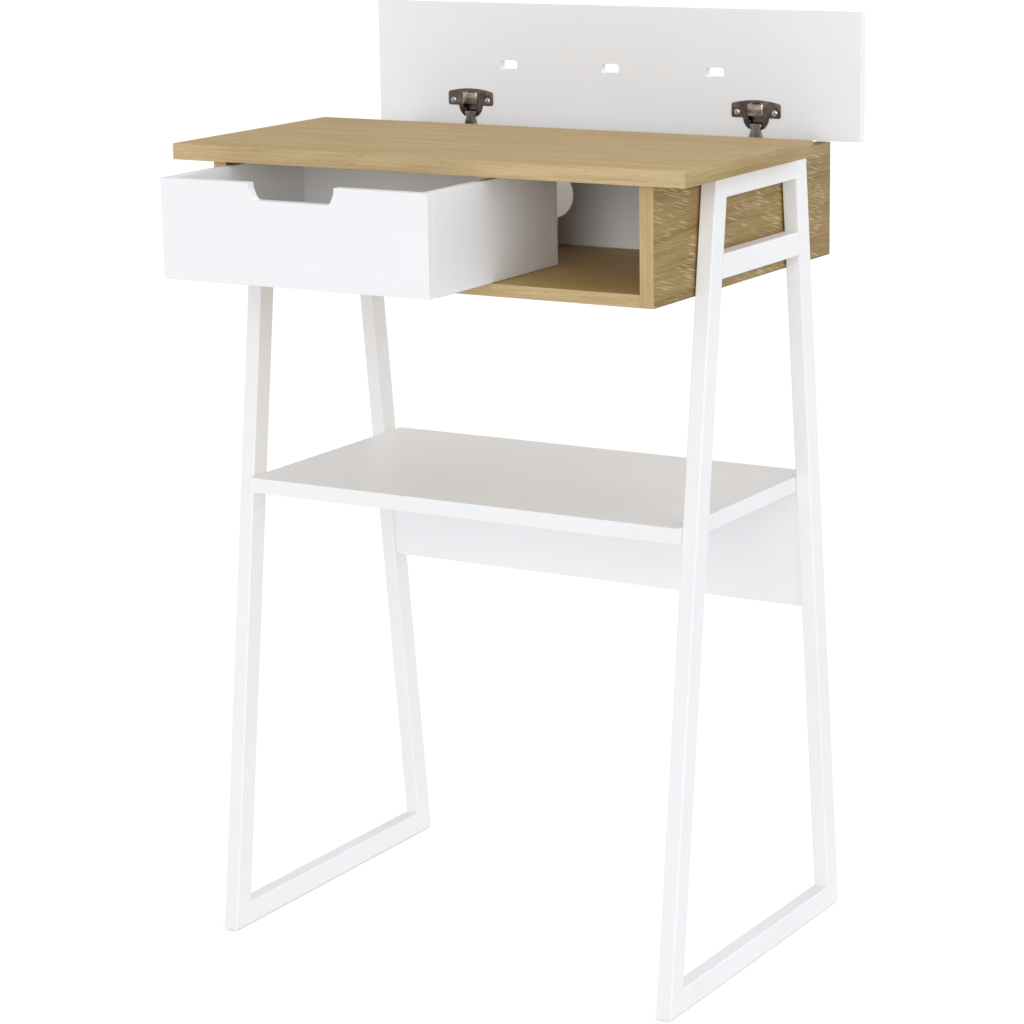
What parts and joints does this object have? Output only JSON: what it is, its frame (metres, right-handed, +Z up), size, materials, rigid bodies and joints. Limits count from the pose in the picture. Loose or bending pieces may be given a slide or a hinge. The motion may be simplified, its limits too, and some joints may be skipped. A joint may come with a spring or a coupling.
{
  "type": "secretary desk",
  "caption": "Narrow standing-height desk on trapezoid steel frames with a drawer beside an open niche, a hinged lid over a cable compartment, and a low shelf.",
  "frame": {"origin": "on the floor, under the middle of the outline of the stored pose, with the drawer drawn out and the lid open", "axes": "+X to the right seen from the drawer side, +Y to the back, +Z up"},
  "size_m": [0.7, 0.5976, 1.1475],
  "materials": {
    "oak": "satin veneer, grain along the length of each board",
    "white_lacquer": "smooth satin white lacquer on board",
    "powder_coat": "satin white powder coat",
    "zinc_steel": "bright zinc plated",
    "hinge_metal": "nickel plated",
    "beech": "bare beech",
    "white_plastic": "moulded, matt",
    "grey_felt": "pressed felt",
    "buffer_rubber": "soft, matt"
  },
  "bodies": {
    "desk": {"desktop": "oak", "side_panel_left": "oak", "side_panel_right": "oak", "bottom_panel": "oak", "divider_panel": "white_lacquer", "back_panel": "white_lacquer", "shelf": "white_lacquer", "shelf_stretcher": "white_lacquer", "front_leg_left": "powder_coat", "front_leg_right": "powder_coat", "rear_leg_left": "powder_coat", "rear_leg_right": "powder_coat", "base_rail_left": "powder_coat", "base_rail_right": "powder_coat", "top_rail_left": "powder_coat", "top_rail_right": "powder_coat", "cross_rail_left": "powder_coat", "cross_rail_right": "powder_coat", "case_cams": "zinc_steel", "leg_bolts": "zinc_steel", "leg_spacers": "zinc_steel", "weld_nuts": "zinc_steel", "frame_studs": "zinc_steel", "barrel_nuts": "zinc_steel", "rail_screws": "zinc_steel", "hinge_screws": "zinc_steel", "hinge_arm_left": "hinge_metal", "hinge_arm_right": "hinge_metal", "hinge_plates": "hinge_metal", "case_dowels": "beech", "drawer_rail": "beech", "drawer_stop": "beech", "floor_glides": "white_plastic", "lid_buffers": "buffer_rubber"},
    "drawer": {"drawer_front": "white_lacquer", "drawer_side_left": "white_lacquer", "drawer_side_right": "white_lacquer", "drawer_back": "white_lacquer", "drawer_bottom": "white_lacquer", "drawer_shoe": "white_plastic", "drawer_felts": "grey_felt", "drawer_screws": "zinc_steel"},
    "lid": {"lid_panel": "white_lacquer", "hinge_cup_left": "hinge_metal", "hinge_cup_right": "hinge_metal", "hinge_covers": "hinge_metal", "hinge_pins": "hinge_metal", "cup_screws": "zinc_steel"}
  },
  "joints": [
    {"name": "drawer_slide", "type": "slide", "parent": "desk", "child": "drawer", "axis": [0, -1, 0], "range_m": [-0.136, 0.064]},
    {"name": "lid_hinge", "type": "hinge", "parent": "desk", "child": "lid", "pos_m": [0, 0.28925, 1.0065], "axis": [1, 0, 0], "range_deg": [0, 90]}
  ]
}
